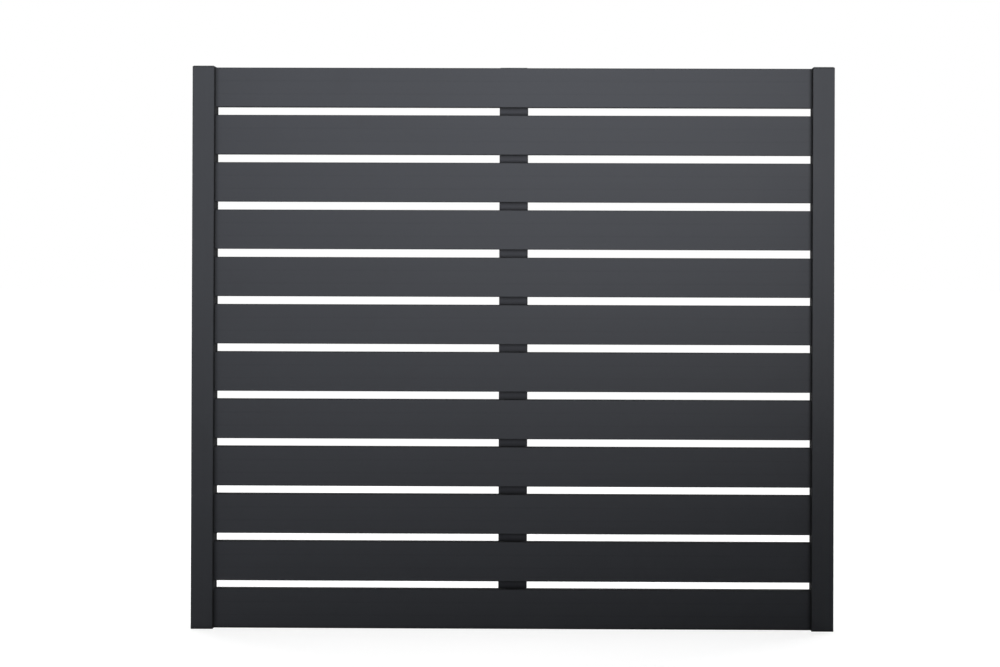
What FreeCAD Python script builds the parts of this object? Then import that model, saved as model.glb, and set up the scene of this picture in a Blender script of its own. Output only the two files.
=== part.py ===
import FreeCAD, Part
import Sketcher
import os
import re

# Garden privacy screen: hollow slats stacked with spacers in the grooves of two posts,
# with an upright channel as a brace, screwed to the back of every slat at mid-width.
#
# Frame: X runs along the slats, Y from the front to the back, Z up. The origin is in
# the middle of the bottom edge, half way through the depth of the posts.

# Driving sizes in millimetres. The counts and row numbers are plain numbers.
SIZES = {
    "overall_width": 1460,
    # Slats, counted from the bottom
    "slat_count": 12,
    "slat_height": 90,
    "slat_depth": 16,
    "slat_wall": 1.4,
    "slat_webs": 2,
    "slat_edge_radius": 1.0,
    "slat_gap": 18,
    # Posts: one large chamber, and a groove between two hollow lips
    "post_width": 50,
    "post_depth": 40,
    "post_wall": 1.8,
    "post_edge_radius": 1.2,
    "groove_depth": 22,
    "groove_clearance": 0.3,
    "slat_end_clearance": 2,
    # Spacers between the slat ends
    "spacer_wall": 2.0,
    "spacer_recess": 0.5,
    "spacer_end_clearance": 0.5,
    # Brace: a channel with two lips and an open slot at the back
    "brace_width": 65,
    "brace_depth": 12,
    "brace_wall": 1.5,
    "brace_slot": 35,
    "brace_edge_radius": 1.0,
    # Push-in caps on the posts and the brace
    "cap_edge": 1.0,
    "cap_bevel_rise": 2.0,
    "cap_bevel_run": 3.0,
    "cap_plug_length": 14,
    "cap_plug_wall": 1.6,
    "cap_clearance": 0.25,
    # Hexagon-head screws, driven from the back into the slats
    "screw_bite": 8,
    "screw_shank": 4.2,
    "screw_clearance": 0.2,
    "screw_head": 7.0,
    "screw_head_height": 3.2,
    # Holes for fixing each post to a wall or to a ground post, level with a gap that is
    # counted from the bottom, and again at the same distance from the top
    "fixing_hole": 6.5,
    "access_hole": 13,
    "fixing_gap": 2,
}

# Sizes that follow from the driving ones.
DERIVED = {
    "slat_back": "slat_depth / 2",
    "post_back": "post_depth / 2",
    "brace_back": "brace_depth / 2",
    "slat_pitch": "slat_height + slat_gap",
    "slat_span": "(slat_count - 1) * slat_pitch",
    "stack_height": "slat_span + slat_height",
    "clear_width": "overall_width - 2 * post_width",
    "slat_seat": "groove_depth - slat_end_clearance",
    "slat_length": "clear_width + 2 * slat_seat",
    "slat_chamber": "(slat_height - (slat_webs + 2) * slat_wall) / (slat_webs + 1)",
    "seat_middle": "(clear_width + slat_seat) / 2",
    "groove_floor": "post_width - groove_depth",
    "groove_half": "slat_back + groove_clearance",
    "chamber_side": "groove_floor - post_wall",
    "spacer_length": "groove_depth - spacer_recess - spacer_end_clearance",
    "screw_hole": "screw_shank + 2 * screw_clearance",
    "screw_corner": "screw_head / sqrt(3)",
    "fixing_height": "slat_height + slat_gap / 2 + (fixing_gap - 1) * slat_pitch",
}

HALF_TURN = 180
SAME = 1e-6

document = FreeCAD.newDocument("Garden_privacy_screen")


def qualified(expression):
    """The expression with the sheet's name before each size."""

    def with_sheet(match):
        word = match.group()
        if word in SIZES:
            return f"Sizes.{word}"
        return f"Derived.{word}" if word in DERIVED else word

    return re.sub(r"[a-z]\w+", with_sheet, expression)


def fill_sheet(sheet_name, cells):
    sheet = document.addObject("Spreadsheet::Sheet", sheet_name)
    for row, (alias, content) in enumerate(cells.items(), start=1):
        sheet.set(f"A{row}", alias)
        sheet.set(f"B{row}", content)
        sheet.setAlias(f"B{row}", alias)
    document.recompute()
    return sheet


fill_sheet("Sizes", {alias: str(size) for alias, size in SIZES.items()})
derived_sheet = fill_sheet(
    "Derived", {alias: "=" + qualified(formula) for alias, formula in DERIVED.items()}
)


def number(expression):
    return float(derived_sheet.evalExpression(qualified(expression)))


def bind(item, property_name, expression):
    item.setExpression(property_name, qualified(expression))


# ---------------------------------------------------------------- building blocks


def new_body(label, x="0", y="0", z="0", turned=False):
    """An empty sub-part whose own origin stands at x, y, z, turned half round Z or not."""
    body = document.addObject("PartDesign::Body", label)
    body.Label = label
    angle = HALF_TURN if turned else 0
    rotation = FreeCAD.Rotation(FreeCAD.Vector(0, 0, 1), angle)
    body.Placement = FreeCAD.Placement(FreeCAD.Vector(), rotation)
    for axis, expression in zip("xyz", (x, y, z)):
        bind(body, f"Placement.Base.{axis}", expression)
    return body


def origin_item(body, role):
    return next(item for item in body.Origin.OriginFeatures if item.Role == role)


def new_sketch(body, name, role, offset="0"):
    """A sketch on one of the body's origin planes, moved along the plane's normal."""
    sketch = body.newObject("Sketcher::SketchObject", name)
    sketch.AttachmentSupport = [(origin_item(body, role), "")]
    sketch.MapMode = "FlatFace"
    bind(sketch, "AttachmentOffset.Base.z", offset)
    return sketch


def hold_point(sketch, geometry, point, x, y):
    """Dimensions one point of a sketch from the sketch's origin."""
    for kind, expression in (("DistanceX", x), ("DistanceY", y)):
        distance = Sketcher.Constraint(kind, -1, 1, geometry, point, number(expression))
        index = sketch.addConstraint(distance)
        bind(sketch, f"Constraints[{index}]", expression)


def add_outline(sketch, corners):
    """A closed outline of straight lines through the corners."""
    points = [FreeCAD.Vector(number(x), number(y), 0) for x, y in corners]
    first = sketch.GeometryCount
    count = len(corners)
    for index in range(count):
        end = points[(index + 1) % count]
        sketch.addGeometry(Part.LineSegment(points[index], end))
    for index, (x, y) in enumerate(corners):
        following = first + (index + 1) % count
        sketch.addConstraint(
            Sketcher.Constraint("Coincident", first + index, 2, following, 1)
        )
        hold_point(sketch, first + index, 1, x, y)


def add_rectangle(sketch, left, low, right, high):
    add_outline(sketch, [(left, low), (right, low), (right, high), (left, high)])


def add_circle(sketch, x, y, diameter):
    centre = FreeCAD.Vector(number(x), number(y), 0)
    radius = number(diameter) / 2
    circle = sketch.addGeometry(Part.Circle(centre, FreeCAD.Vector(0, 0, 1), radius))
    index = sketch.addConstraint(Sketcher.Constraint("Diameter", circle, 2 * radius))
    bind(sketch, f"Constraints[{index}]", diameter)
    hold_point(sketch, circle, 3, x, y)


def pad(body, sketch, name, length, side="One side", reverse=False):
    feature = body.newObject("PartDesign::Pad", name)
    feature.Profile = sketch
    feature.SideType = side
    feature.Reversed = reverse
    bind(feature, "Length", length)
    document.recompute()
    return feature


def pocket(body, sketch, name, length=None, side="One side", reverse=False):
    """Cuts a sketch to a length, or through all, and makes sure that it took material."""
    before = body.Tip.Shape.Volume
    feature = body.newObject("PartDesign::Pocket", name)
    feature.Profile = sketch
    feature.SideType = side
    feature.Reversed = reverse
    if length is None:
        feature.Type = "ThroughAll"
    else:
        bind(feature, "Length", length)
    document.recompute()
    if feature.Shape.Volume > before - SAME:
        raise RuntimeError(f"{body.Label}: {name} cuts nothing")
    return feature


def picked_edges(body, is_picked):
    """The body's tip with the names of those of its edges whose boxes the test picks."""
    names = [
        f"Edge{index}"
        for index, edge in enumerate(body.Tip.Shape.Edges, start=1)
        if is_picked(edge.BoundBox)
    ]
    return body.Tip, names


def round_edges(body, name, radius, is_picked):
    edges = picked_edges(body, is_picked)
    feature = body.newObject("PartDesign::Fillet", name)
    feature.Base = edges
    bind(feature, "Radius", radius)
    document.recompute()


def bevel_edges(body, name, run, rise, is_picked):
    """Bevels top edges by a run across the top and a rise up the sides."""
    edges = picked_edges(body, is_picked)
    feature = body.newObject("PartDesign::Chamfer", name)
    feature.Base = edges
    feature.ChamferType = "Two distances"
    bind(feature, "Size", rise)
    bind(feature, "Size2", run)
    document.recompute()


def row_upwards(body, features, name, length, count):
    """Repeats features up the body's Z axis."""
    pattern = body.newObject("PartDesign::LinearPattern", name)
    pattern.Originals = features
    pattern.Direction = (origin_item(body, "Z_Axis"), [""])
    bind(pattern, "Length", length)
    bind(pattern, "Occurrences", count)
    body.Tip = pattern
    document.recompute()


# ---------------------------------------------------------------------- sub-parts


def build_slat(row):
    """A hollow slat with webs inside, drilled from the back for its screws."""
    body = new_body(f"slat_{row + 1:02d}", z=f"{row} * slat_pitch")
    outline = new_sketch(body, "slat_outline", "YZ_Plane")
    add_rectangle(outline, "-slat_back", "0", "slat_back", "slat_height")
    pad(body, outline, "slat_blank", "slat_length", side="Symmetric")
    round_edges(
        body,
        "rounded_front_edges",
        "slat_edge_radius",
        lambda box: box.XLength > SAME and box.YMax < 0,
    )
    chambers = new_sketch(body, "chambers_outline", "YZ_Plane")
    for level in range(SIZES["slat_webs"] + 1):
        low = f"slat_wall + {level} * (slat_chamber + slat_wall)"
        add_rectangle(
            chambers,
            "slat_wall - slat_back",
            low,
            "slat_back - slat_wall",
            f"{low} + slat_chamber",
        )
    pocket(body, chambers, "chambers", side="Symmetric")

    holes = new_sketch(body, "screw_holes_outline", "XZ_Plane")
    add_circle(holes, "0", "slat_height / 2", "screw_hole")
    if row in (0, SIZES["slat_count"] - 1):
        add_circle(holes, "-seat_middle", "slat_height / 2", "screw_hole")
        add_circle(holes, "seat_middle", "slat_height / 2", "screw_hole")
    pocket(body, holes, "screw_holes")


def build_post(label, x, turned):
    """A post in its own frame: outer side at X 0, groove open towards +X."""
    body = new_body(label, x=x, turned=turned)
    outline = new_sketch(body, "post_outline", "XY_Plane")
    add_outline(
        outline,
        [
            ("0", "-post_back"),
            ("post_width", "-post_back"),
            ("post_width", "-groove_half"),
            ("groove_floor", "-groove_half"),
            ("groove_floor", "groove_half"),
            ("post_width", "groove_half"),
            ("post_width", "post_back"),
            ("0", "post_back"),
        ],
    )
    pad(body, outline, "post_blank", "stack_height")
    corner = number("post_back") - SAME
    round_edges(
        body,
        "rounded_corners",
        "post_edge_radius",
        lambda box: box.ZLength > SAME and min(abs(box.YMin), abs(box.YMax)) > corner,
    )
    chambers = new_sketch(body, "chambers_outline", "XY_Plane")
    add_rectangle(
        chambers,
        "post_wall",
        "post_wall - post_back",
        "chamber_side",
        "post_back - post_wall",
    )
    add_rectangle(
        chambers,
        "groove_floor",
        "post_wall - post_back",
        "post_width - post_wall",
        "-groove_half - post_wall",
    )
    add_rectangle(
        chambers,
        "groove_floor",
        "groove_half + post_wall",
        "post_width - post_wall",
        "post_back - post_wall",
    )
    pocket(body, chambers, "chambers", reverse=True)

    screw_hole = new_sketch(body, "screw_hole_outline", "XZ_Plane")
    add_circle(
        screw_hole, "post_width - slat_seat / 2", "slat_height / 2", "screw_hole"
    )
    drilled = pocket(body, screw_hole, "screw_hole", reverse=turned)
    row_upwards(body, [drilled], "screw_holes", "slat_span", "2")

    for name, diameter, start in (
        ("fixing_holes", "fixing_hole", "0"),
        ("access_holes", "access_hole", "chamber_side"),
    ):
        circles = new_sketch(body, name + "_outline", "YZ_Plane", offset=start)
        add_circle(circles, "0", "fixing_height", diameter)
        add_circle(circles, "0", "stack_height - fixing_height", diameter)
        pocket(body, circles, name, length="post_wall", reverse=True)


def build_spacer(label, x, gap, turned):
    """A moulded block, open towards the groove's floor, that keeps two slats apart."""
    body = new_body(label, x=x, z=f"slat_height + {gap} * slat_pitch", turned=turned)
    outline = new_sketch(body, "spacer_outline", "YZ_Plane")
    add_rectangle(outline, "-slat_back", "0", "slat_back", "slat_gap")
    pad(body, outline, "spacer_blank", "spacer_length")
    hollow = new_sketch(body, "hollow_outline", "YZ_Plane")
    add_rectangle(
        hollow,
        "spacer_wall - slat_back",
        "spacer_wall",
        "slat_back - spacer_wall",
        "slat_gap - spacer_wall",
    )
    pocket(body, hollow, "hollow", length="spacer_length - spacer_wall", reverse=True)


def build_brace():
    """A lipped channel whose web lies flat against the backs of the slats."""
    body = new_body("centre_brace", y="slat_back + brace_back")
    outline = new_sketch(body, "brace_outline", "XY_Plane")
    add_outline(
        outline,
        [
            ("-brace_width / 2", "-brace_back"),
            ("brace_width / 2", "-brace_back"),
            ("brace_width / 2", "brace_back"),
            ("brace_slot / 2", "brace_back"),
            ("brace_slot / 2", "brace_back - brace_wall"),
            ("brace_width / 2 - brace_wall", "brace_back - brace_wall"),
            ("brace_width / 2 - brace_wall", "brace_wall - brace_back"),
            ("brace_wall - brace_width / 2", "brace_wall - brace_back"),
            ("brace_wall - brace_width / 2", "brace_back - brace_wall"),
            ("-brace_slot / 2", "brace_back - brace_wall"),
            ("-brace_slot / 2", "brace_back"),
            ("-brace_width / 2", "brace_back"),
        ],
    )
    pad(body, outline, "channel", "stack_height")
    side = number("brace_width") / 2 - SAME
    round_edges(
        body,
        "rounded_corners",
        "brace_edge_radius",
        lambda box: box.ZLength > SAME and min(abs(box.XMin), abs(box.XMax)) > side,
    )
    screw_hole = new_sketch(body, "screw_hole_outline", "XZ_Plane")
    add_circle(screw_hole, "0", "slat_height / 2", "screw_hole")
    drilled = pocket(body, screw_hole, "screw_hole", reverse=True)
    row_upwards(body, [drilled], "screw_holes", "slat_span", "slat_count")


def build_cap(label, x, y, plate, chamber, turned=False):
    """A cap with a bevelled top, and a hollow plug that enters the tube's chamber.

    plate and chamber are (left, front, right, back), from the tube's own origin.
    """
    body = new_body(label, x=x, y=y, z="stack_height", turned=turned)
    edge = new_sketch(body, "plate_outline", "XY_Plane")
    add_rectangle(edge, *plate)
    pad(body, edge, "plate", "cap_edge + cap_bevel_rise")
    top = number("cap_edge + cap_bevel_rise") - SAME
    bevel_edges(
        body, "bevel", "cap_bevel_run", "cap_bevel_rise", lambda box: box.ZMin > top
    )

    plug = new_sketch(body, "plug_outline", "XY_Plane")
    left, front, right, back = chamber
    for inset in ("cap_clearance", "(cap_clearance + cap_plug_wall)"):
        add_rectangle(
            plug,
            f"{left} + {inset}",
            f"{front} + {inset}",
            f"{right} - {inset}",
            f"{back} - {inset}",
        )
    pad(body, plug, "plug", "cap_plug_length", reverse=True)


def build_screws(label, x, seat, length, count):
    """A column of screws whose heads sit on a face at Y seat and whose ends point forward."""
    body = new_body(label, x=x, y=seat, z="slat_height / 2")
    hexagon = new_sketch(body, "head_outline", "XZ_Plane")
    add_outline(
        hexagon,
        [
            ("screw_corner", "0"),
            ("screw_corner / 2", "screw_head / 2"),
            ("-screw_corner / 2", "screw_head / 2"),
            ("-screw_corner", "0"),
            ("-screw_corner / 2", "-screw_head / 2"),
            ("screw_corner / 2", "-screw_head / 2"),
        ],
    )
    head = pad(body, hexagon, "head", "screw_head_height", reverse=True)
    circle = new_sketch(body, "shank_outline", "XZ_Plane")
    add_circle(circle, "0", "0", "screw_shank")
    shank = pad(body, circle, "shank", length)
    row_upwards(body, [head, shank], "screws", "slat_span", count)


# ----------------------------------------------------------------------- assembly


def build_side(side, sign, turned):
    """One post with its spacers, cap and screws; sign is "-" on the left."""
    outer_side = f"{sign}overall_width / 2"
    build_post(f"post_{side}", outer_side, turned)
    for gap in range(SIZES["slat_count"] - 1):
        build_spacer(
            f"spacer_{side}_{gap + 1:02d}",
            f"{sign}(clear_width / 2 + spacer_recess + spacer_length)",
            gap,
            turned,
        )
    build_cap(
        f"post_cap_{side}",
        outer_side,
        "0",
        ("0", "-post_back", "post_width", "post_back"),
        ("post_wall", "post_wall - post_back", "chamber_side", "post_back - post_wall"),
        turned,
    )
    build_screws(
        f"post_screws_{side}",
        f"{sign}seat_middle",
        "post_back",
        "post_back - slat_back + screw_bite",
        "2",
    )


for slat_row in range(SIZES["slat_count"]):
    build_slat(slat_row)
build_side("left", "-", turned=False)
build_side("right", "", turned=True)
build_brace()
build_cap(
    "brace_cap",
    "0",
    "slat_back + brace_back",
    ("-brace_width / 2", "-brace_back", "brace_width / 2", "brace_back"),
    (
        "brace_wall - brace_width / 2",
        "brace_wall - brace_back",
        "brace_width / 2 - brace_wall",
        "brace_back - brace_wall",
    ),
)
build_screws(
    "brace_screws",
    "0",
    "slat_back + brace_wall",
    "brace_wall + screw_bite",
    "slat_count",
)
document.recompute()

for item in document.Objects:
    if {"Invalid", "Error"} & set(item.State):
        raise RuntimeError(f"{item.Label} failed: {item.State}")

bodies = [item for item in document.Objects if item.TypeId == "PartDesign::Body"]
for body in bodies:
    if body.Shape.isNull() or not body.Shape.isValid():
        raise RuntimeError(f"{body.Label} has no valid shape")

os.makedirs("parts", exist_ok=True)
for body in bodies:
    body.Shape.exportStep(f"parts/{body.Label}.step")
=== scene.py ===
import math
from typing import NamedTuple

import bmesh
import bpy
from bpy.props import FloatProperty, FloatVectorProperty, PointerProperty
from mathutils import Euler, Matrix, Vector


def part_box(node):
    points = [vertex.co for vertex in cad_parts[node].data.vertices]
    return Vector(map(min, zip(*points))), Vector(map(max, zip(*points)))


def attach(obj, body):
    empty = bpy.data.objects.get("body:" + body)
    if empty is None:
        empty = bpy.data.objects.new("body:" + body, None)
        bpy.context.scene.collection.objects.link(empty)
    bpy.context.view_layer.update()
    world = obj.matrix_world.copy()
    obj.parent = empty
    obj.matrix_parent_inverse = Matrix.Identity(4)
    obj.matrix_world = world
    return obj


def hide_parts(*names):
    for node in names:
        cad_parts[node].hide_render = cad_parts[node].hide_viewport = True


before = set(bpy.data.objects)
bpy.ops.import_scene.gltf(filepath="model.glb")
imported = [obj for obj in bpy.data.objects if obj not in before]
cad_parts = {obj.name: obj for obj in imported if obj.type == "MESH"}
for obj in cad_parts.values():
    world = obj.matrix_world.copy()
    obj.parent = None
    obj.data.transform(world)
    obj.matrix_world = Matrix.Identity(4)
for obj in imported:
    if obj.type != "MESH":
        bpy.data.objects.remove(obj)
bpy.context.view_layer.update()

bl_info = {
    "name": "Garden Privacy Screen",
    "version": (1, 0, 0),
    "blender": (4, 5, 0),
    "location": "3D View > Sidebar > Privacy Screen",
    "description": "Coats a slatted screen and adds its caps, screws and studio",
    "category": "Object",
}

MM = 0.001
BODY = "root"

POSTS = ("post_left", "post_right")
BRACE = "centre_brace"
CAPS = ("post_cap_left", "post_cap_right", "brace_cap")
SCREW_ROWS = ("brace_screws", "post_screws_left", "post_screws_right")
SLATS = sorted(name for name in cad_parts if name.startswith("slat_"))
SPACERS = sorted(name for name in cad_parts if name.startswith("spacer_"))
STACK_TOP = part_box(SLATS[-1])[1].z


# ------------------------------------------------------- patterns of the finishes


class Pattern(NamedTuple):
    """A noise: cells per metre, levels of detail, their strength, and distortion."""

    scale: float
    detail: float = 2.0
    roughness: float = 0.5
    distortion: float = 0.0


NOISE_RANGE = (0.3, 0.7)  # most of a noise's values lie between these

# Powder coat.
CLOUDS = Pattern(3.1, detail=3.0, roughness=0.55, distortion=0.6)
DRAW_LINES = Pattern(9.0, detail=3.0)
DRAW_STRETCH = {"X": (0.25, 14.0, 14.0), "Z": (14.0, 14.0, 0.25)}
PEEL = Pattern(620.0, roughness=0.6)
GRAIN = Pattern(2600.0, detail=1.0)
SMEARS = Pattern(5.3, detail=4.0, roughness=0.62, distortion=1.2)
SMEAR_RANGE = (0.56, 0.72)
EDGE_WEAR = Pattern(38.0, detail=4.0, roughness=0.7)
EDGE_WEAR_RANGE = (0.56, 0.66)
# The darker band along edges, of which the wear takes a share, is painted shade.
EDGE_WEAR_WIDTH = 0.25  # as a share of the darker band along edges
SPECK_RIM = (0.028, 0.016)  # in cells, from a speck's middle: outside, inside
SPECK_CHANCE = (0.955, 0.96)  # only the cells with a value above these have one

DRAW_SHADE = 0.012
PEEL_SHADE = 0.035
PIECE_SHADE = 0.02
GRAIN_DEPTH = 0.3  # as a share of the peel's depth

CLOUD_ROUGHNESS = 0.04
PEEL_ROUGHNESS = 0.05
SMEAR_ROUGHNESS = -0.07
RUBBED_ROUGHNESS = -0.12
GAP_ROUGHNESS = 0.4

# Moulded nylon.
FLOW = Pattern(28.0, detail=3.0, roughness=0.55, distortion=0.8)
NYLON_GRAIN = Pattern(1500.0)
NYLON_PITS_SCALE = 1900.0
FLOW_SHADE = 0.06
NYLON_GRAIN_SHADE = 0.05
FLOW_ROUGHNESS = 0.05
NYLON_GRAIN_ROUGHNESS = 0.04
NYLON_PIT_DEPTH = 0.03 * MM
NYLON_GRAIN_DEPTH = 0.02 * MM
NYLON_EDGE_WIDTH = 0.5  # as a share of the powder coat's
CAP_ROUGHNESS = 0.58
SPACER_ROUGHNESS = 0.9

# Coated steel.
STEEL_FLOW = Pattern(160.0, detail=3.0, roughness=0.6)
STEEL_GRAIN = Pattern(3200.0, detail=1.0)
STEEL_WEAR = Pattern(420.0, detail=3.0)
STEEL_WEAR_RANGE = (0.38, 0.6)
STEEL_EDGE_WIDTH = 0.35 * MM
STEEL_SHADES = (0.82, 1.12)
STEEL_ROUGHNESS = 0.46
STEEL_FLOW_ROUGHNESS = 0.06
STEEL_GRAIN_DEPTH = 0.012 * MM
STEEL_GLOSS = 0.4

# Masks.
EDGE_TURN = (0.99, 0.9)  # cosine of a rounded edge's turn where the mask is 0 and 1
LEVEL_TURN = (0.3, 0.75)  # a normal's share along an axis where the mask is 0 and 1
CORNER_OPENNESS = (1.0, 0.25)  # open share where the mask is 0 and 1
TOP_MARGIN = 2 * MM  # the top slat's upper face isn't one of a gap's faces


# ------------------------------------------------------------------ node helpers


class NodeSheet:
    """A node tree with short calls for the nodes that the finishes share."""

    def __init__(self, owner):
        owner.use_nodes = True
        self.owner = owner
        self.tree = owner.node_tree
        self.tree.nodes.clear()

    def add(self, kind, **settings):
        node = self.tree.nodes.new(kind)
        for key, value in settings.items():
            setattr(node, key, value)
        return node

    def join(self, source, target):
        self.tree.links.new(source, target)

    def feed(self, socket, value):
        """Links an output to a socket, or writes a plain value on it."""
        if isinstance(value, bpy.types.NodeSocket):
            self.join(value, socket)
        else:
            socket.default_value = value

    def coordinates(self, kind="Object"):
        return self.add("ShaderNodeTexCoord").outputs[kind]

    def stretched(self, scale):
        """The object's coordinates, stretched by a factor for each axis."""
        mapping = self.add("ShaderNodeMapping")
        self.join(self.coordinates(), mapping.inputs["Vector"])
        mapping.inputs["Scale"].default_value = scale
        return mapping.outputs["Vector"]

    def noise(self, pattern, vector=None):
        node = self.add("ShaderNodeTexNoise")
        self.join(vector or self.coordinates(), node.inputs["Vector"])
        node.inputs["Scale"].default_value = pattern.scale
        node.inputs["Detail"].default_value = pattern.detail
        node.inputs["Roughness"].default_value = pattern.roughness
        node.inputs["Distortion"].default_value = pattern.distortion
        return node.outputs["Fac"]

    def cells(self, scale):
        node = self.add("ShaderNodeTexVoronoi")
        self.join(self.coordinates(), node.inputs["Vector"])
        node.inputs["Scale"].default_value = scale
        return node

    def spread(self, value, low, high, to_low=0.0, to_high=1.0, smooth=False):
        """Maps a value from one range to another and clamps it."""
        node = self.add("ShaderNodeMapRange", clamp=True)
        if smooth:
            node.interpolation_type = "SMOOTHSTEP"
        self.join(value, node.inputs["Value"])
        for socket, number in zip(
            ("From Min", "From Max", "To Min", "To Max"), (low, high, to_low, to_high)
        ):
            node.inputs[socket].default_value = number
        return node.outputs["Result"]

    def swing(self, noise, reach):
        """Turns a noise into a number between -reach and reach."""
        return self.spread(noise, *NOISE_RANGE, -reach, reach)

    def maths(self, operation, first, second=0.0):
        node = self.add("ShaderNodeMath", operation=operation)
        self.feed(node.inputs[0], first)
        self.feed(node.inputs[1], second)
        return node.outputs["Value"]

    def times(self, *values):
        product = values[0]
        for value in values[1:]:
            product = self.maths("MULTIPLY", product, value)
        return product

    def plus(self, *values):
        total = values[0]
        for value in values[1:]:
            total = self.maths("ADD", total, value)
        return total

    def mixed(self, factor, first, second, blend="MIX"):
        node = self.add("ShaderNodeMix", data_type="RGBA", blend_type=blend)
        for index, value in ((0, factor), (6, first), (7, second)):
            self.feed(node.inputs[index], value)
        return node.outputs[2]

    def shaded(self, colour, shade):
        """A colour, made lighter or darker by a number near 1."""
        grey = self.add("ShaderNodeCombineColor")
        for channel in ("Red", "Green", "Blue"):
            self.join(shade, grey.inputs[channel])
        return self.mixed(1.0, opaque(colour), grey.outputs["Color"], "MULTIPLY")

    def along(self, axis, vector):
        split = self.add("ShaderNodeSeparateXYZ")
        self.join(vector, split.inputs["Vector"])
        return split.outputs[axis]

    def edge_mask(self, radius):
        """Near 1 along the sharp edges of a piece and 0 on its flat faces."""
        bevel = self.add("ShaderNodeBevel", samples=4)
        bevel.inputs["Radius"].default_value = radius
        geometry = self.add("ShaderNodeNewGeometry")
        dot = self.add("ShaderNodeVectorMath", operation="DOT_PRODUCT")
        self.join(bevel.outputs["Normal"], dot.inputs[0])
        self.join(geometry.outputs["True Normal"], dot.inputs[1])
        return self.spread(dot.outputs["Value"], *EDGE_TURN)

    def gap_faces(self):
        """1 on the faces round the gaps: slat tops and undersides, inner post sides,
        where the coat gets painted shade.
        """
        normal = self.coordinates("Normal")
        upright_part = self.maths("ABSOLUTE", self.along("Z", normal))
        level = self.spread(upright_part, *LEVEL_TURN)
        height = self.along("Z", self.coordinates())
        below = self.maths("LESS_THAN", height, STACK_TOP - TOP_MARGIN)
        side = self.maths("SIGN", self.along("X", self.coordinates()))
        outward = self.times(self.along("X", normal), side)
        inward = self.spread(outward, *(-turn for turn in LEVEL_TURN))
        return self.maths("MAXIMUM", self.times(level, below), inward)

    def corner_mask(self, reach):
        """Near 1 deep in inner corners and joints and 0 on open faces; the coat gets
        painted shade there.
        """
        open_share = self.add("ShaderNodeAmbientOcclusion", samples=6)
        open_share.inputs["Distance"].default_value = reach
        return self.spread(open_share.outputs["AO"], *CORNER_OPENNESS)

    def seen_directly(self):
        """1 for rays from the lens, reflections and clear materials, else 0."""
        path = self.add("ShaderNodeLightPath")
        total = path.outputs["Is Camera Ray"]
        for name in ("Is Glossy Ray", "Is Transmission Ray"):
            total = self.maths("MAXIMUM", total, path.outputs[name])
        return total

    def bump(self, height, distance, under=None):
        node = self.add("ShaderNodeBump")
        node.inputs["Distance"].default_value = distance
        self.join(height, node.inputs["Height"])
        if under is not None:
            self.join(under, node.inputs["Normal"])
        return node.outputs["Normal"]

    def finish(self, colour, roughness, normal, specular, metallic=0.0):
        """Ends a material with one shader and returns the material."""
        shader = self.add("ShaderNodeBsdfPrincipled")
        self.feed(shader.inputs["Base Color"], colour)
        self.feed(shader.inputs["Roughness"], roughness)
        self.feed(shader.inputs["Metallic"], metallic)
        shader.inputs["Specular IOR Level"].default_value = specular
        self.join(normal, shader.inputs["Normal"])
        output = self.add("ShaderNodeOutputMaterial")
        self.join(shader.outputs["BSDF"], output.inputs["Surface"])
        return self.owner


def opaque(colour):
    return (*colour, 1.0)


# --------------------------------------------------------------------- finishes


def powder_coat(name, colour, settings, drawn):
    """Satin powder coat over an extrusion that was drawn along the X or the Z axis,
    with painted shade along edges, in inner corners and on the faces round the gaps.
    """
    sheet = NodeSheet(bpy.data.materials.new(name))
    clouds = sheet.noise(CLOUDS)
    draw_lines = sheet.noise(DRAW_LINES, sheet.stretched(DRAW_STRETCH[drawn]))
    peel = sheet.noise(PEEL)
    smears = sheet.spread(sheet.noise(SMEARS), *SMEAR_RANGE, smooth=True)
    per_piece = sheet.add("ShaderNodeObjectInfo").outputs["Random"]

    shade = sheet.plus(
        1.0,
        sheet.swing(clouds, settings.cloudiness),
        sheet.swing(draw_lines, DRAW_SHADE),
        sheet.swing(peel, PEEL_SHADE),
        sheet.spread(per_piece, 0.0, 1.0, -PIECE_SHADE, PIECE_SHADE),
        sheet.times(smears, -settings.smear),
    )
    coat = sheet.shaded(colour, shade)

    # Painted shade: the coat darkens toward one dark colour along edges, in inner
    # corners and on the faces round the gaps.
    gap_face = sheet.gap_faces()
    for mask, strength in (
        (sheet.edge_mask(settings.edge_width), settings.edge_painted_shade),
        (sheet.corner_mask(settings.corner_reach), settings.corner_painted_shade),
        (gap_face, settings.gap_painted_shade),
    ):
        coat = sheet.mixed(
            sheet.times(mask, strength), coat, opaque(settings.painted_shade_colour)
        )
    rubbed = sheet.times(
        sheet.edge_mask(EDGE_WEAR_WIDTH * settings.edge_width),
        sheet.spread(sheet.noise(EDGE_WEAR), *EDGE_WEAR_RANGE),
        settings.edge_wear,
    )
    coat = sheet.mixed(rubbed, coat, opaque(settings.rubbed_colour))
    specks = sheet.cells(settings.speck_spacing_scale)
    is_speck = sheet.times(
        sheet.spread(specks.outputs["Distance"], *SPECK_RIM),
        sheet.spread(specks.outputs["Color"], *SPECK_CHANCE),
    )
    coat = sheet.mixed(
        sheet.times(is_speck, settings.speck_strength),
        coat,
        opaque(settings.dust_colour),
    )

    roughness = sheet.plus(
        settings.coat_roughness,
        sheet.swing(clouds, CLOUD_ROUGHNESS),
        sheet.swing(peel, PEEL_ROUGHNESS),
        sheet.times(smears, SMEAR_ROUGHNESS),
        sheet.times(rubbed, RUBBED_ROUGHNESS),
        sheet.times(gap_face, GAP_ROUGHNESS),
    )
    normal = sheet.bump(draw_lines, settings.draw_depth)
    normal = sheet.bump(peel, settings.peel_depth, normal)
    normal = sheet.bump(sheet.noise(GRAIN), GRAIN_DEPTH * settings.peel_depth, normal)
    return sheet.finish(coat, roughness, normal, settings.coat_specular)


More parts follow.
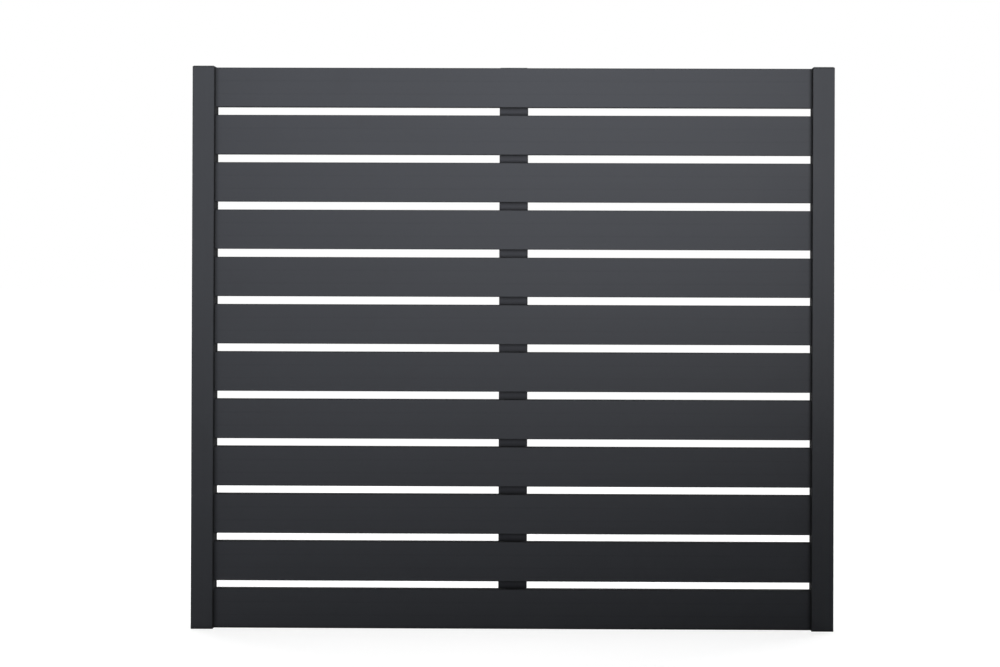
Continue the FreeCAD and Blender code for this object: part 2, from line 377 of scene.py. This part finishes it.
def moulded(name, colour, settings, roughness):
    """Fine-grained nylon with slight flow shading and painted shade along its edges."""
    sheet = NodeSheet(bpy.data.materials.new(name))
    flow = sheet.noise(FLOW)
    grain = sheet.noise(NYLON_GRAIN)
    shade = sheet.plus(
        1.0,
        sheet.swing(flow, FLOW_SHADE),
        sheet.swing(grain, NYLON_GRAIN_SHADE),
    )
    # Painted shade: the nylon darkens along its edges.
    edge = sheet.edge_mask(NYLON_EDGE_WIDTH * settings.edge_width)
    body = sheet.mixed(
        sheet.times(edge, settings.edge_painted_shade),
        sheet.shaded(colour, shade),
        opaque(settings.painted_shade_colour),
    )
    rough = sheet.plus(
        roughness,
        sheet.swing(flow, FLOW_ROUGHNESS),
        sheet.swing(grain, NYLON_GRAIN_ROUGHNESS),
    )
    pits = sheet.cells(NYLON_PITS_SCALE).outputs["Distance"]
    normal = sheet.bump(pits, NYLON_PIT_DEPTH)
    normal = sheet.bump(grain, NYLON_GRAIN_DEPTH, normal)
    return sheet.finish(body, rough, normal, settings.coat_specular)


def coated_steel(name, settings):
    """Thin dark coating on steel, worn to bare metal on the corners of the heads."""
    sheet = NodeSheet(bpy.data.materials.new(name))
    flow = sheet.noise(STEEL_FLOW)
    rubbed = sheet.times(
        sheet.edge_mask(STEEL_EDGE_WIDTH),
        sheet.spread(sheet.noise(STEEL_WEAR), *STEEL_WEAR_RANGE),
    )
    dark, light = (
        opaque(tuple(shade * part for part in settings.coat_colour))
        for shade in STEEL_SHADES
    )
    coat = sheet.mixed(sheet.spread(flow, *NOISE_RANGE), dark, light)
    colour = sheet.mixed(rubbed, coat, opaque(settings.bare_steel_colour))
    rough = sheet.plus(
        STEEL_ROUGHNESS,
        sheet.swing(flow, STEEL_FLOW_ROUGHNESS),
        sheet.times(rubbed, RUBBED_ROUGHNESS),
    )
    normal = sheet.bump(sheet.noise(STEEL_GRAIN), STEEL_GRAIN_DEPTH)
    return sheet.finish(colour, rough, normal, STEEL_GLOSS, metallic=rubbed)


def dress(node_name, material):
    """Puts a finish on every slot of a CAD node."""
    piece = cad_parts[node_name]
    if not piece.material_slots:
        piece.data.materials.append(material)
    for slot in piece.material_slots:
        slot.material = material


# ---------------------------------------------------------------- mesh building

SHARP_ANGLE = math.radians(35)
CORNER_STEPS = 5
LEAST_CORNER = 0.35  # of a cap's corner radius, where its bevel insets the corner

PLUG_CORNER = 0.6 * MM
PLUG_INNER_CORNER = 0.18 * MM
PLUG_CORNER_STEPS = 3
PLUG_TAPER_INSET = 0.5 * MM
PLUG_TAPER_HEIGHT = 1.5 * MM

HEAD_POINTS = 36
SHANK_POINTS = 20
STEPS_PER_TURN = 4
TIP_LENGTH = 3.0 * MM
POINT_LENGTH = 0.9 * MM
HEAD_SKIN = 0.1 * MM
SCREWS_APART = 20 * MM


def rounded_rectangle(low, high, z, radius, steps=CORNER_STEPS):
    """Points round a rectangle with rounded corners, anticlockwise from above."""
    corners = (
        (high.x - radius, high.y - radius, 0.0),
        (low.x + radius, high.y - radius, 0.5 * math.pi),
        (low.x + radius, low.y + radius, math.pi),
        (high.x - radius, low.y + radius, 1.5 * math.pi),
    )
    points = []
    for x, y, start in corners:
        for step in range(steps + 1):
            angle = start + 0.5 * math.pi * step / steps
            across, back = radius * math.cos(angle), radius * math.sin(angle)
            points.append(Vector((x + across, y + back, z)))
    return points


def inset_ring(low, high, inset, z, radius, steps=CORNER_STEPS):
    step = Vector((inset, inset, 0.0))
    return rounded_rectangle(low + step, high - step, z, radius, steps)


def bridge_rows(shape, lower, upper):
    """Faces between two closed rows of as many corners each."""
    count = len(lower)
    for index in range(count):
        after = (index + 1) % count
        shape.faces.new((lower[index], lower[after], upper[after], upper[index]))


def skin_rings(shape, rings, close_ends=True):
    """Faces between successive closed rings of as many points each."""
    rows = [[shape.verts.new(point) for point in ring] for ring in rings]
    for lower, upper in zip(rows, rows[1:]):
        bridge_rows(shape, lower, upper)
    if close_ends:
        shape.faces.new(list(reversed(rows[0])))
        shape.faces.new(rows[-1])
    else:
        bridge_rows(shape, rows[-1], rows[0])


def made_piece(name, shape, material, node):
    """Turns mesh code into a piece that stands for a CAD node and rides with it."""
    bmesh.ops.recalc_face_normals(shape, faces=shape.faces)
    mesh = bpy.data.meshes.new(name)
    shape.to_mesh(mesh)
    shape.free()
    mesh.materials.append(material)
    mesh.shade_smooth()
    mesh.set_sharp_from_angle(angle=SHARP_ANGLE)
    piece = bpy.data.objects.new(name, mesh)
    bpy.context.scene.collection.objects.link(piece)
    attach(piece, BODY)
    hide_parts(node)


def cap_plate(shape, low, high, foot, settings):
    """A cap's visible plate: upright edge, shallow bevel and flat top, all softened."""
    edge, rise, run = settings.cap_edge, settings.cap_rise, settings.cap_run
    soft = settings.cap_softness
    slope = rise / run
    inset_and_height = (
        (soft, 0.0),
        (0.3 * soft, 0.3 * soft),
        (0.0, soft),
        (0.0, edge - 0.6 * soft),
        (0.12 * soft, edge),
        (soft, edge + soft * slope),
        (run - soft, edge + rise - soft * slope),
        (run, edge + rise - 0.12 * soft),
        (run + soft, edge + rise),
    )
    least = LEAST_CORNER * settings.cap_corner
    skin_rings(
        shape,
        [
            inset_ring(
                low, high, inset, foot + height, max(settings.cap_corner - inset, least)
            )
            for inset, height in inset_and_height
        ],
    )


def cap_plug(shape, low, high, foot, length, wall):
    """A hollow plug below a cap's plate, tapered where it enters the tube."""
    outer = [
        inset_ring(low, high, inset, foot + height, PLUG_CORNER, PLUG_CORNER_STEPS)
        for inset, height in (
            (0.0, 0.0),
            (0.0, PLUG_TAPER_HEIGHT - length),
            (PLUG_TAPER_INSET, -length),
        )
    ]
    inner = [
        inset_ring(low, high, wall, foot + height, PLUG_INNER_CORNER, PLUG_CORNER_STEPS)
        for height in (-length, 0.0)
    ]
    skin_rings(shape, outer + inner, close_ends=False)


def plug_box(node_name, foot):
    """Lowest and highest corners of the part of a CAD cap that is below its plate."""
    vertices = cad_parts[node_name].data.vertices
    points = [vertex.co for vertex in vertices if vertex.co.z < foot - MM]
    low, high = (
        Vector([end(point[axis] for point in points) for axis in range(3)])
        for end in (min, max)
    )
    return low, high


def build_cap(node_name, name, material, settings):
    low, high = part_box(node_name)
    foot = high.z - settings.cap_edge - settings.cap_rise
    shape = bmesh.new()
    cap_plate(shape, low, high, foot, settings)
    plug_low, plug_high = plug_box(node_name, foot)
    length = foot - plug_low.z
    cap_plug(shape, plug_low, plug_high, foot, length, settings.cap_plug_wall)
    made_piece(name, shape, material, node_name)


def ring_about(x, z, y, radius_at, count):
    """Points round an axis along Y; radius_at gives the radius for each angle."""
    points = []
    for index in range(count):
        angle = 2 * math.pi * index / count
        radius = radius_at(angle)
        across, down = radius * math.cos(angle), radius * math.sin(angle)
        points.append(Vector((x + across, y, z - down)))
    return points


def round_at(radius):
    return lambda angle: radius


def hexagon_at(flats):
    """The radius of a hexagon, across its flats, at any angle."""
    sector = math.pi / 3

    def radius_at(angle):
        return 0.5 * flats / math.cos((angle % sector) - 0.5 * sector)

    return radius_at


def thread_at(travel, pitch, root, crest):
    """The radius of a thread at any angle, at a distance along the screw."""

    def radius_at(angle):
        wave = (travel / pitch - angle / (2 * math.pi)) % 1.0
        return root + (crest - root) * (1.0 - abs(2.0 * wave - 1.0))

    return radius_at


def screw_head(shape, x, z, seat, settings):
    """A washer face with a hexagon on it, dished in the middle."""
    head, flats = settings.screw_head_height, settings.screw_flats
    flange = 0.5 * settings.screw_flange
    flange_height = 0.3 * head
    height_and_radius = (
        (0.0, round_at(flange - 0.15 * MM)),
        (0.12 * MM, round_at(flange)),
        (0.45 * flange_height, round_at(flange - 0.05 * MM)),
        (flange_height, hexagon_at(flats)),
        (0.86 * head, hexagon_at(flats)),
        (head, round_at(0.47 * flats)),
        (head, round_at(0.36 * flats)),
        (head - 0.25 * MM, round_at(0.3 * flats)),
    )
    skin_rings(
        shape,
        [
            ring_about(x, z, seat + height, radius_at, HEAD_POINTS)
            for height, radius_at in height_and_radius
        ],
    )


def screw_shank(shape, x, z, seat, depth, settings):
    """A threaded shank with a drill point."""
    pitch = settings.thread_pitch
    crest = 0.5 * settings.screw_shank
    root = crest - settings.thread_depth
    threaded = depth - TIP_LENGTH
    steps = round(threaded / (pitch / STEPS_PER_TURN))
    travel_and_radius = []
    for step in range(steps + 1):
        travel = threaded * step / steps
        travel_and_radius.append((travel, thread_at(travel, pitch, root, crest)))
    travel_and_radius += [
        (threaded + 0.2 * MM, round_at(0.82 * root)),
        (depth - POINT_LENGTH, round_at(0.78 * root)),
        (depth, round_at(0.12 * root)),
    ]
    skin_rings(
        shape,
        [
            ring_about(x, z, seat - travel, radius_at, SHANK_POINTS)
            for travel, radius_at in travel_and_radius
        ],
    )


def screw_seats(node_name, settings):
    """Each screw of a CAD node: its X and Z, the face that it sits on and its depth."""
    low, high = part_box(node_name)
    seat = high.y - settings.screw_head_height
    heights = sorted(
        {
            round(vertex.co.z, 5)
            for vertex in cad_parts[node_name].data.vertices
            if vertex.co.y > high.y - HEAD_SKIN
        }
    )
    heads = []
    for height in heights:
        if not heads or height - heads[-1][-1] > SCREWS_APART:
            heads.append([height])
        else:
            heads[-1].append(height)
    middle = 0.5 * (low.x + high.x)
    return [
        (middle, 0.5 * (head[0] + head[-1]), seat, seat - low.y) for head in heads
    ]


def build_screws(node_name, name, material, settings):
    shape = bmesh.new()
    for x, z, seat, depth in screw_seats(node_name, settings):
        screw_head(shape, x, z, seat, settings)
        screw_shank(shape, x, z, seat, depth, settings)
    made_piece(name, shape, material, node_name)


# ------------------------------------------------------------------- properties


class ScreenFinish(bpy.types.PropertyGroup):
    coat_colour: FloatVectorProperty(
        name="Slat Colour",
        description="Charcoal of the powder coat on the slats",
        subtype="COLOR",
        size=3,
        min=0.0,
        max=1.0,
        default=(0.0515, 0.0545, 0.0625),
    )
    # Painted shade: the posts' charcoal is the slats' coat made a little darker.
    post_colour_with_painted_shade: FloatVectorProperty(
        name="Post Colour",
        description="Charcoal of the powder coat on the posts",
        subtype="COLOR",
        size=3,
        min=0.0,
        max=1.0,
        default=(0.0492, 0.0520, 0.0592),
    )
    # Painted shade: the brace's charcoal is the slats' coat made darker, for the brace
    # standing back behind the slats.
    brace_colour_with_painted_shade: FloatVectorProperty(
        name="Brace Colour",
        description="Charcoal of the powder coat on the brace",
        subtype="COLOR",
        size=3,
        min=0.0,
        max=1.0,
        default=(0.0405, 0.0425, 0.0505),
    )
    coat_roughness: FloatProperty(
        name="Coat Roughness",
        description="How matt the satin powder coat is",
        default=0.52,
        min=0.0,
        max=1.0,
        subtype="FACTOR",
    )
    coat_specular: FloatProperty(
        name="Coat Gloss",
        description="Strength of the coat's clear reflection",
        default=0.1,
        min=0.0,
        max=1.0,
        subtype="FACTOR",
    )
    peel_depth: FloatProperty(
        name="Peel Depth",
        description="Depth of the powder coat's fine orange peel",
        default=0.00003,
        precision=6,
        subtype="DISTANCE",
        unit="LENGTH",
    )
    draw_depth: FloatProperty(
        name="Draw Line Depth",
        description="Depth of the faint lines that the extrusion's die leaves",
        default=0.00001,
        precision=6,
        subtype="DISTANCE",
        unit="LENGTH",
    )
    cloudiness: FloatProperty(
        name="Cloudiness",
        description="Broad unevenness of the coat's shade",
        default=0.035,
        subtype="FACTOR",
    )
    smear: FloatProperty(
        name="Smears",
        description="Strength of the faint handling smears",
        default=0.05,
        subtype="FACTOR",
    )
    edge_width: FloatProperty(
        name="Edge Width",
        description="Width of the darker band along edges",
        default=0.003,
        precision=5,
        subtype="DISTANCE",
        unit="LENGTH",
    )
    # Strength of the painted shade along edges.
    edge_painted_shade: FloatProperty(
        name="Edge Shade",
        description="How far the coat darkens along edges",
        default=0.85,
        subtype="FACTOR",
    )
    # Strength of the painted shade on the slat tops, slat undersides and inner post
    # sides.
    gap_painted_shade: FloatProperty(
        name="Gap Shade",
        description="How far the coat darkens on the faces inside the gaps",
        default=0.85,
        subtype="FACTOR",
    )
    # Strength and reach of the painted shade in inner corners and joints.
    corner_painted_shade: FloatProperty(
        name="Corner Shade",
        description="How far the coat darkens in inner corners and joints",
        default=0.9,
        subtype="FACTOR",
    )
    corner_reach: FloatProperty(
        name="Corner Reach",
        description="How far out of an inner corner the coat darkens",
        default=0.010,
        precision=4,
        subtype="DISTANCE",
        unit="LENGTH",
    )
    # The dark colour of the painted shade on edges, in inner corners and on the faces
    # round the gaps.
    painted_shade_colour: FloatVectorProperty(
        name="Shaded Colour",
        description="Colour towards which edges and gap faces darken",
        subtype="COLOR",
        size=3,
        default=(0.0050, 0.0052, 0.0056),
    )
    edge_wear: FloatProperty(
        name="Edge Wear",
        description="How far the few worn spots on edges turn lighter",
        default=0.35,
        subtype="FACTOR",
    )
    rubbed_colour: FloatVectorProperty(
        name="Rubbed Colour",
        description="Colour of rubbed edges",
        subtype="COLOR",
        size=3,
        default=(0.105, 0.110, 0.118),
    )
    dust_colour: FloatVectorProperty(
        name="Dust Colour",
        description="Colour of the few specks of dust",
        subtype="COLOR",
        size=3,
        default=(0.24, 0.24, 0.235),
    )
    speck_spacing_scale: FloatProperty(
        name="Speck Scale",
        description="Cells per metre of the pattern that places specks",
        default=34.0,
    )
    speck_strength: FloatProperty(
        name="Speck Strength",
        description="How strongly the specks of dust show",
        default=0.5,
        subtype="FACTOR",
    )
    cap_colour: FloatVectorProperty(
        name="Cap Colour",
        description="Colour of the moulded caps",
        subtype="COLOR",
        size=3,
        default=(0.050, 0.0525, 0.0575),
    )
    # Black of the nylon spacers, made darker still as painted shade at the gap ends.
    spacer_colour_with_painted_shade: FloatVectorProperty(
        name="Spacer Colour",
        description="Colour of the moulded spacers",
        subtype="COLOR",
        size=3,
        default=(0.013, 0.0135, 0.0145),
    )
    bare_steel_colour: FloatVectorProperty(
        name="Bare Steel Colour",
        description="Colour of steel where a screw's coating is worn off",
        subtype="COLOR",
        size=3,
        default=(0.42, 0.41, 0.40),
    )


class ScreenHardware(bpy.types.PropertyGroup):
    cap_edge: FloatProperty(
        name="Cap Edge",
        description="Height of a cap's upright edge",
        default=0.001,
        precision=5,
        unit="LENGTH",
    )
    cap_rise: FloatProperty(
        name="Bevel Rise",
        description="Height of a cap's bevel",
        default=0.002,
        precision=5,
        unit="LENGTH",
    )
    cap_run: FloatProperty(
        name="Bevel Run",
        description="Width of a cap's bevel, seen from above",
        default=0.003,
        precision=5,
        unit="LENGTH",
    )
    cap_corner: FloatProperty(
        name="Corner Radius",
        description="Radius of a cap's upright corners, as on the tube below it",
        default=0.0012,
        precision=5,
        unit="LENGTH",
    )
    cap_softness: FloatProperty(
        name="Edge Softness",
        description="Rounding of a cap's moulded edges",
        default=0.0003,
        precision=5,
        unit="LENGTH",
    )
    cap_plug_wall: FloatProperty(
        name="Plug Wall",
        description="Wall of the hollow plug below a cap",
        default=0.0016,
        precision=5,
        unit="LENGTH",
    )
    screw_flats: FloatProperty(
        name="Head Across Flats",
        description="Size of a screw's hexagon",
        default=0.007,
        precision=5,
        unit="LENGTH",
    )
    screw_head_height: FloatProperty(
        name="Head Height",
        description="Height of a screw's head with its washer face",
        default=0.0032,
        precision=5,
        unit="LENGTH",
    )
    screw_flange: FloatProperty(
        name="Washer Face",
        description="Diameter of the washer face under a screw's hexagon",
        default=0.0088,
        precision=5,
        unit="LENGTH",
    )
    screw_shank: FloatProperty(
        name="Shank",
        description="Outer diameter of a screw's thread",
        default=0.0042,
        precision=5,
        unit="LENGTH",
    )
    thread_pitch: FloatProperty(
        name="Thread Pitch",
        description="Distance from one thread to the next",
        default=0.0014,
        precision=5,
        unit="LENGTH",
    )
    thread_depth: FloatProperty(
        name="Thread Depth",
        description="Depth of a screw's thread",
        default=0.0005,
        precision=5,
        unit="LENGTH",
    )


class ScreenStudio(bpy.types.PropertyGroup):
    camera_place: FloatVectorProperty(
        name="Camera Place",
        description="Where the camera stands",
        subtype="TRANSLATION",
        unit="LENGTH",
        size=3,
        default=(0.188, -3.500, 0.860),
    )
    camera_turn: FloatVectorProperty(
        name="Camera Turn",
        description="How the camera is turned",
        subtype="EULER",
        unit="ROTATION",
        size=3,
        default=tuple(math.radians(angle) for angle in (90.119, -0.175, 0.349)),
    )
    camera_lens: FloatProperty(
        name="Lens",
        description="Focal length in millimetres",
        default=55.18,
        min=1.0,
    )
    camera_shift: FloatVectorProperty(
        name="Shift",
        description="Sideways and upward shift of the lens",
        size=2,
        default=(-0.0862, -0.085),
    )
    floor_size: FloatProperty(
        name="Floor Size",
        description="Side of the square floor",
        default=60.0,
        unit="LENGTH",
    )
    floor_colour: FloatVectorProperty(
        name="Floor Colour",
        description="Shade of the floor under the studio lights",
        subtype="COLOR",
        size=3,
        default=(0.36, 0.36, 0.36),
    )
    floor_lift: FloatProperty(
        name="Floor Lift",
        description="Light that the floor shows to the lens beyond what it reflects",
        default=0.80,
    )
    floor_near: FloatProperty(
        name="Floor Near",
        description="Distance up to which the floor keeps its own shade and the shadow",
        default=0.7,
        unit="LENGTH",
    )
    floor_far: FloatProperty(
        name="Floor Far",
        description="Distance from which the floor is as white as the room",
        default=2.2,
        unit="LENGTH",
    )
    room_light: FloatProperty(
        name="Room Light",
        description="Strength of the even light from all round",
        default=0.08,
    )
    key_power: FloatProperty(
        name="Key Power",
        description="Power of the large softbox in front",
        default=47.5,
        unit="POWER",
    )
    back_power: FloatProperty(
        name="Back Power",
        description="Power of each of the two softboxes behind",
        default=45.0,
        unit="POWER",
    )
    top_power: FloatProperty(
        name="Top Power",
        description="Power of the softbox overhead",
        default=10.0,
        unit="POWER",
    )


# ------------------------------------------------------------------------ stage

FLOOR_DROP = 0.5 * MM  # keeps the floor just clear of the screen's underside
SENSOR_WIDTH = 36.0
VIEW_DEPTH = 100.0


def add_floor(studio):
    """A pale floor that keeps the shadow and is as white as the room further off."""
    half = studio.floor_size / 2
    shape = bmesh.new()
    corners = ((-half, -half), (half, -half), (half, half), (-half, half))
    shape.faces.new([shape.verts.new((x, y, 0.0)) for x, y in corners])
    mesh = bpy.data.meshes.new("studio_floor")
    shape.to_mesh(mesh)
    shape.free()
    floor = bpy.data.objects.new("studio_floor", mesh)
    bpy.context.scene.collection.objects.link(floor)
    floor.location.z = -FLOOR_DROP

    sheet = NodeSheet(bpy.data.materials.new("floor_paper"))
    paper = sheet.add("ShaderNodeBsdfDiffuse")
    paper.inputs["Color"].default_value = opaque(studio.floor_colour)
    distance = sheet.add("ShaderNodeVectorMath", operation="LENGTH")
    sheet.join(sheet.coordinates(), distance.inputs[0])
    lift = sheet.spread(
        distance.outputs["Value"],
        studio.floor_near,
        studio.floor_far,
        studio.floor_lift,
        1.0,
        smooth=True,
    )
    light = sheet.add("ShaderNodeEmission")
    sheet.join(sheet.times(sheet.seen_directly(), lift), light.inputs["Strength"])
    both = sheet.add("ShaderNodeAddShader")
    sheet.join(paper.outputs["BSDF"], both.inputs[0])
    sheet.join(light.outputs["Emission"], both.inputs[1])
    output = sheet.add("ShaderNodeOutputMaterial")
    sheet.join(both.outputs["Shader"], output.inputs["Surface"])
    mesh.materials.append(sheet.owner)


def add_room(studio):
    """A room that is white to the lens and lights the screen dimly from all round."""
    world = bpy.data.worlds.new("studio_room")
    bpy.context.scene.world = world
    sheet = NodeSheet(world)
    mix = sheet.add("ShaderNodeMixShader")
    sheet.join(sheet.seen_directly(), mix.inputs["Fac"])
    for index, strength in ((1, studio.room_light), (2, 1.0)):
        light = sheet.add("ShaderNodeBackground")
        light.inputs["Color"].default_value = (1.0, 1.0, 1.0, 1.0)
        light.inputs["Strength"].default_value = strength
        sheet.join(light.outputs["Background"], mix.inputs[index])
    output = sheet.add("ShaderNodeOutputWorld")
    sheet.join(mix.outputs["Shader"], output.inputs["Surface"])


def add_softbox(name, place, tilt, turn, size, power, spread):
    """A softbox that looks along +Y, tilted up and then turned left, in degrees."""
    light = bpy.data.lights.new(name, "AREA")
    light.shape = "RECTANGLE"
    light.size, light.size_y = size
    light.energy = power
    light.spread = math.radians(spread)
    lamp = bpy.data.objects.new(name, light)
    bpy.context.scene.collection.objects.link(lamp)
    lamp.location = place
    lamp.rotation_euler = Euler((math.radians(90 + tilt), 0.0, math.radians(turn)))
    lamp.visible_camera = False


def add_softboxes(studio):
    add_softbox(
        "key_softbox",
        place=(0.24, -2.08, 1.11),
        tilt=28.3,
        turn=31.8,
        size=(2.8, 1.6),
        power=studio.key_power,
        spread=118,
    )
    for name, side, turn in (("left", -1, 234), ("right", 1, 126)):
        add_softbox(
            f"back_softbox_{name}",
            place=(side * 2.6, 1.9, 1.2),
            tilt=-8,
            turn=turn,
            size=(1.6, 1.6),
            power=studio.back_power,
            spread=150,
        )
    add_softbox(
        "top_softbox",
        place=(0.0, 0.2, 3.2),
        tilt=-90,
        turn=0,
        size=(2.0, 1.0),
        power=studio.top_power,
        spread=60,
    )


def add_camera(studio):
    camera = bpy.data.cameras.new("studio_camera")
    camera.sensor_width = SENSOR_WIDTH
    camera.lens = studio.camera_lens
    camera.shift_x, camera.shift_y = studio.camera_shift
    camera.clip_end = VIEW_DEPTH
    holder = bpy.data.objects.new("studio_camera", camera)
    bpy.context.scene.collection.objects.link(holder)
    holder.location = studio.camera_place
    holder.rotation_euler = Euler(studio.camera_turn)
    bpy.context.scene.camera = holder


# -------------------------------------------------------------------- operators


class SCREEN_OT_coat_slats(bpy.types.Operator):
    """Give all the slats their satin powder coat"""

    bl_idname = "privacy_screen.coat_slats"
    bl_label = "Coat Slats"

    def execute(self, context):
        finish = context.scene.screen_finish
        coat = powder_coat("slat_powder_coat", finish.coat_colour, finish, "X")
        for name in SLATS:
            dress(name, coat)
        return {"FINISHED"}


class SCREEN_OT_coat_posts(bpy.types.Operator):
    """Give the two posts and the brace the satin powder coat, each in a darker copy as
    painted shade
    """

    bl_idname = "privacy_screen.coat_posts"
    bl_label = "Coat Posts and Brace"

    def execute(self, context):
        finish = context.scene.screen_finish
        # The posts and the brace get darker copies of the slats' coat: painted shade.
        coat = powder_coat("post_powder_coat_painted_shade", finish.post_colour_with_painted_shade, finish, "Z")
        for name in POSTS:
            dress(name, coat)
        # The brace's darker coat is painted shade.
        coat = powder_coat("brace_powder_coat_painted_shade", finish.brace_colour_with_painted_shade, finish, "Z")
        dress(BRACE, coat)
        return {"FINISHED"}


class SCREEN_OT_dress_spacers(bpy.types.Operator):
    """Give the spacers between the slat ends their moulded finish"""

    bl_idname = "privacy_screen.dress_spacers"
    bl_label = "Dress Spacers"

    def execute(self, context):
        finish = context.scene.screen_finish
        # The spacers' black includes painted shade at the gap ends.
        nylon = moulded("spacer_nylon", finish.spacer_colour_with_painted_shade, finish, SPACER_ROUGHNESS)
        for name in SPACERS:
            dress(name, nylon)
        return {"FINISHED"}


class SCREEN_OT_add_caps(bpy.types.Operator):
    """Build the bevelled push-in caps of the posts and the brace"""

    bl_idname = "privacy_screen.add_caps"
    bl_label = "Add Caps"

    def execute(self, context):
        finish = context.scene.screen_finish
        hardware = context.scene.screen_hardware
        nylon = moulded("cap_nylon", finish.cap_colour, finish, CAP_ROUGHNESS)
        for node_name in CAPS:
            build_cap(node_name, f"{node_name}_moulded", nylon, hardware)
        return {"FINISHED"}


class SCREEN_OT_add_screws(bpy.types.Operator):
    """Build the hexagon washer-head screws at the back"""

    bl_idname = "privacy_screen.add_screws"
    bl_label = "Add Screws"

    def execute(self, context):
        hardware = context.scene.screen_hardware
        steel = coated_steel("screw_coating", context.scene.screen_finish)
        for node_name in SCREW_ROWS:
            build_screws(node_name, f"{node_name}_threaded", steel, hardware)
        return {"FINISHED"}


class SCREEN_OT_set_stage(bpy.types.Operator):
    """Set up the pale floor, the white room, the softboxes and the camera"""

    bl_idname = "privacy_screen.set_stage"
    bl_label = "Set Stage"

    def execute(self, context):
        studio = context.scene.screen_studio
        context.scene.view_settings.view_transform = "Standard"
        add_floor(studio)
        add_room(studio)
        add_softboxes(studio)
        add_camera(studio)
        return {"FINISHED"}


class SCREEN_PT_sidebar(bpy.types.Panel):
    """Lists the steps that dress the privacy screen and the sizes that they use"""

    bl_idname = "SCREEN_PT_sidebar"
    bl_label = "Privacy Screen"
    bl_space_type = "VIEW_3D"
    bl_region_type = "UI"
    bl_category = "Privacy Screen"

    def draw(self, context):
        layout = self.layout
        for operator in OPERATORS:
            layout.operator(operator.bl_idname)
        for group in (
            context.scene.screen_finish,
            context.scene.screen_hardware,
            context.scene.screen_studio,
        ):
            box = layout.box()
            for name in group.__annotations__:
                box.prop(group, name)


OPERATORS = (
    SCREEN_OT_coat_slats,
    SCREEN_OT_coat_posts,
    SCREEN_OT_dress_spacers,
    SCREEN_OT_add_caps,
    SCREEN_OT_add_screws,
    SCREEN_OT_set_stage,
)
CLASSES = (ScreenFinish, ScreenHardware, ScreenStudio, *OPERATORS, SCREEN_PT_sidebar)


def register():
    for item in CLASSES:
        bpy.utils.register_class(item)
    bpy.types.Scene.screen_finish = PointerProperty(type=ScreenFinish)
    bpy.types.Scene.screen_hardware = PointerProperty(type=ScreenHardware)
    bpy.types.Scene.screen_studio = PointerProperty(type=ScreenStudio)


def unregister():
    del bpy.types.Scene.screen_studio
    del bpy.types.Scene.screen_hardware
    del bpy.types.Scene.screen_finish
    for item in reversed(CLASSES):
        bpy.utils.unregister_class(item)


def main():
    register()
    for operator in OPERATORS:
        group, action = operator.bl_idname.split(".")
        getattr(getattr(bpy.ops, group), action)()


if __name__ == "__main__":
    main()
